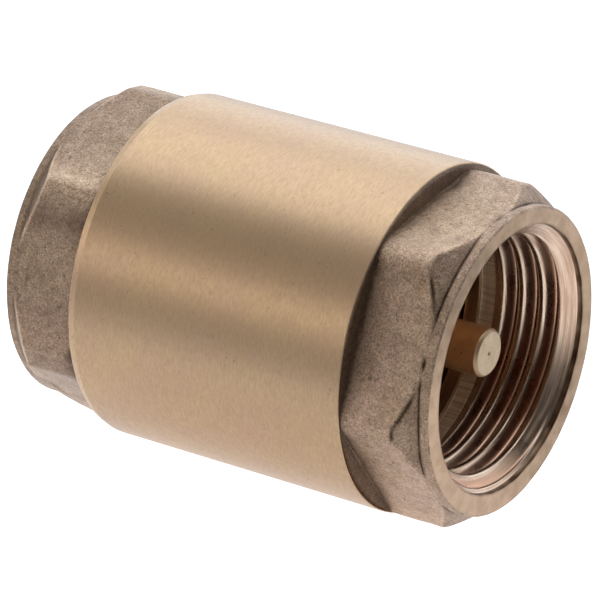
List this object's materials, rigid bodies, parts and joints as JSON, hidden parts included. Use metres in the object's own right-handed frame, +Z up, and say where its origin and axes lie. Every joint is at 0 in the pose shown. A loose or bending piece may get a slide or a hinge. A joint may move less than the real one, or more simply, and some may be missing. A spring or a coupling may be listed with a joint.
{
  "type": "check valve",
  "caption": "In-line spring check valve: a round machined barrel between hexagonal female-threaded ends, with a spring-loaded poppet on a central spindle.",
  "frame": {"origin": "on the valve's axis, half way between its two end faces", "axes": "+X along the axis in the direction of flow, inlet at -X and outlet at +X; +Z up as the valve lies on its barrel"},
  "size_m": [0.039, 0.028, 0.028],
  "materials": {
    "brass_cast": "cast and sand-textured hexagons, satin machined barrel",
    "brass_turned": "turned",
    "stainless_steel": "bright wire",
    "nitrile_rubber": "matt"
  },
  "bodies": {
    "housing": {"valve_body": "brass_cast", "inlet_connector": "brass_cast", "joint_o_ring": "nitrile_rubber", "stem_guide": "brass_turned", "spring": "stainless_steel"},
    "poppet": {"stem": "brass_turned", "valve_disc": "brass_turned", "disc_seal": "nitrile_rubber", "seal_retainer": "brass_turned", "retainer_nut": "stainless_steel"}
  },
  "joints": [
    {"name": "poppet_lift", "type": "slide", "parent": "housing", "child": "poppet", "axis": [1, 0, 0], "range_m": [0, 0.004], "stiffness_N_per_m": 150, "springref_m": -0.0033, "deforming": ["spring"]}
  ]
}
